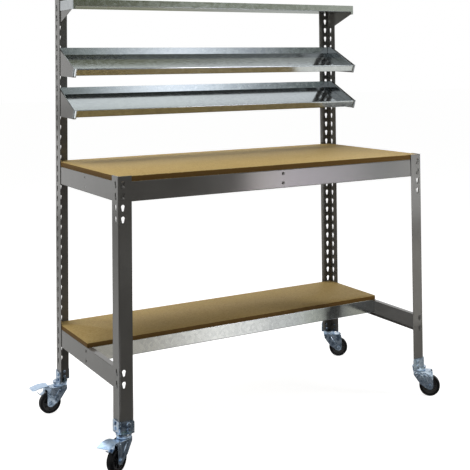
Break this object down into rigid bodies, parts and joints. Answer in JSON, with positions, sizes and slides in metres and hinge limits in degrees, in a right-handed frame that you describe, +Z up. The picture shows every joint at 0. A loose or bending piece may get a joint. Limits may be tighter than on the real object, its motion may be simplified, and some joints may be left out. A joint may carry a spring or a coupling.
{
  "type": "workbench",
  "caption": "Mobile workbench of punched steel angle posts with a chipboard top, a half-depth lower shelf, three galvanised trays above the top and swivel castors.",
  "frame": {"origin": "on the floor, under the middle of the rectangle that the outer corners of the four posts make", "axes": "+X to the right of a person who faces the bench, +Y to the back, +Z up"},
  "size_m": [1.4314, 0.7321, 1.559],
  "materials": {
    "painted_steel": "semi-gloss",
    "galvanised": "satin",
    "zinc": "bright",
    "chipboard": "matt",
    "tyre_rubber": "matt",
    "hub_plastic": "matt"
  },
  "bodies": {
    "root": {"front_left_leg": "painted_steel", "front_right_leg": "painted_steel", "rear_left_post": "painted_steel", "rear_right_post": "painted_steel", "worktop_front_rail": "painted_steel", "worktop_rear_rail": "painted_steel", "worktop_left_rail": "painted_steel", "worktop_right_rail": "painted_steel", "lower_left_rail": "painted_steel", "lower_right_rail": "painted_steel", "lower_rear_rail": "painted_steel", "left_gusset": "painted_steel", "right_gusset": "painted_steel", "worktop_centre_brace": "galvanised", "lower_front_beam": "galvanised", "top_tray": "galvanised", "top_tray_left_end": "galvanised", "top_tray_right_end": "galvanised", "upper_tray": "galvanised", "upper_tray_left_end": "painted_steel", "upper_tray_right_end": "painted_steel", "lower_tray": "galvanised", "lower_tray_left_end": "painted_steel", "lower_tray_right_end": "painted_steel", "worktop_board": "chipboard", "lower_shelf_board": "chipboard", "worktop_rivets": "painted_steel", "lower_rivets": "painted_steel", "tray_bolts": "painted_steel", "shoe_bolts": "zinc", "front_left_shoe": "zinc", "front_left_swivel_head": "zinc", "front_right_shoe": "zinc", "front_right_swivel_head": "zinc", "rear_left_shoe": "zinc", "rear_left_swivel_head": "zinc", "rear_right_shoe": "zinc", "rear_right_swivel_head": "zinc"},
    "front_left_swivel": {"front_left_fork": "zinc", "front_left_axle": "zinc", "front_left_pedal_pin": "zinc"},
    "front_left_wheel": {"front_left_wheel_hub": "hub_plastic", "front_left_tyre": "tyre_rubber"},
    "front_left_pedal": {"front_left_brake_pedal": "zinc", "front_left_brake_shoe": "zinc"},
    "front_right_swivel": {"front_right_fork": "zinc", "front_right_axle": "zinc"},
    "front_right_wheel": {"front_right_wheel_hub": "hub_plastic", "front_right_tyre": "tyre_rubber"},
    "rear_left_swivel": {"rear_left_fork": "zinc", "rear_left_axle": "zinc", "rear_left_pedal_pin": "zinc"},
    "rear_left_wheel": {"rear_left_wheel_hub": "hub_plastic", "rear_left_tyre": "tyre_rubber"},
    "rear_left_pedal": {"rear_left_brake_pedal": "zinc", "rear_left_brake_shoe": "zinc"},
    "rear_right_swivel": {"rear_right_fork": "zinc", "rear_right_axle": "zinc"},
    "rear_right_wheel": {"rear_right_wheel_hub": "hub_plastic", "rear_right_tyre": "tyre_rubber"}
  },
  "joints": [
    {"name": "front_left_swivel", "type": "hinge", "parent": "root", "child": "front_left_swivel", "pos_m": [-0.611, -0.313, 0.103], "axis": [0, 0, 1], "continuous": true},
    {"name": "front_left_roll", "type": "hinge", "parent": "front_left_swivel", "child": "front_left_wheel", "pos_m": [-0.64492, -0.3342, 0.04], "axis": [0.5299, -0.848, 0], "continuous": true},
    {"name": "front_left_brake", "type": "hinge", "parent": "front_left_swivel", "child": "front_left_pedal", "pos_m": [-0.65001, -0.33738, 0.091], "axis": [0.5299, -0.848, 0], "range_deg": [0, 12]},
    {"name": "front_right_swivel", "type": "hinge", "parent": "root", "child": "front_right_swivel", "pos_m": [0.621, -0.303, 0.103], "axis": [0, 0, 1], "continuous": true},
    {"name": "front_right_roll", "type": "hinge", "parent": "front_right_swivel", "child": "front_right_wheel", "pos_m": [0.65294, -0.32707, 0.04], "axis": [0.6018, 0.7986, 0], "continuous": true},
    {"name": "rear_left_swivel", "type": "hinge", "parent": "root", "child": "rear_left_swivel", "pos_m": [-0.621, 0.303, 0.103], "axis": [0, 0, 1], "continuous": true},
    {"name": "rear_left_roll", "type": "hinge", "parent": "rear_left_swivel", "child": "rear_left_wheel", "pos_m": [-0.661, 0.303, 0.04], "axis": [0, -1, 0], "continuous": true},
    {"name": "rear_left_brake", "type": "hinge", "parent": "rear_left_swivel", "child": "rear_left_pedal", "pos_m": [-0.667, 0.303, 0.091], "axis": [0, -1, 0], "range_deg": [0, 12]},
    {"name": "rear_right_swivel", "type": "hinge", "parent": "root", "child": "rear_right_swivel", "pos_m": [0.611, 0.313, 0.103], "axis": [0, 0, 1], "continuous": true},
    {"name": "rear_right_roll", "type": "hinge", "parent": "rear_right_swivel", "child": "rear_right_wheel", "pos_m": [0.64564, 0.293, 0.04], "axis": [0.5, 0.866, 0], "continuous": true}
  ]
}
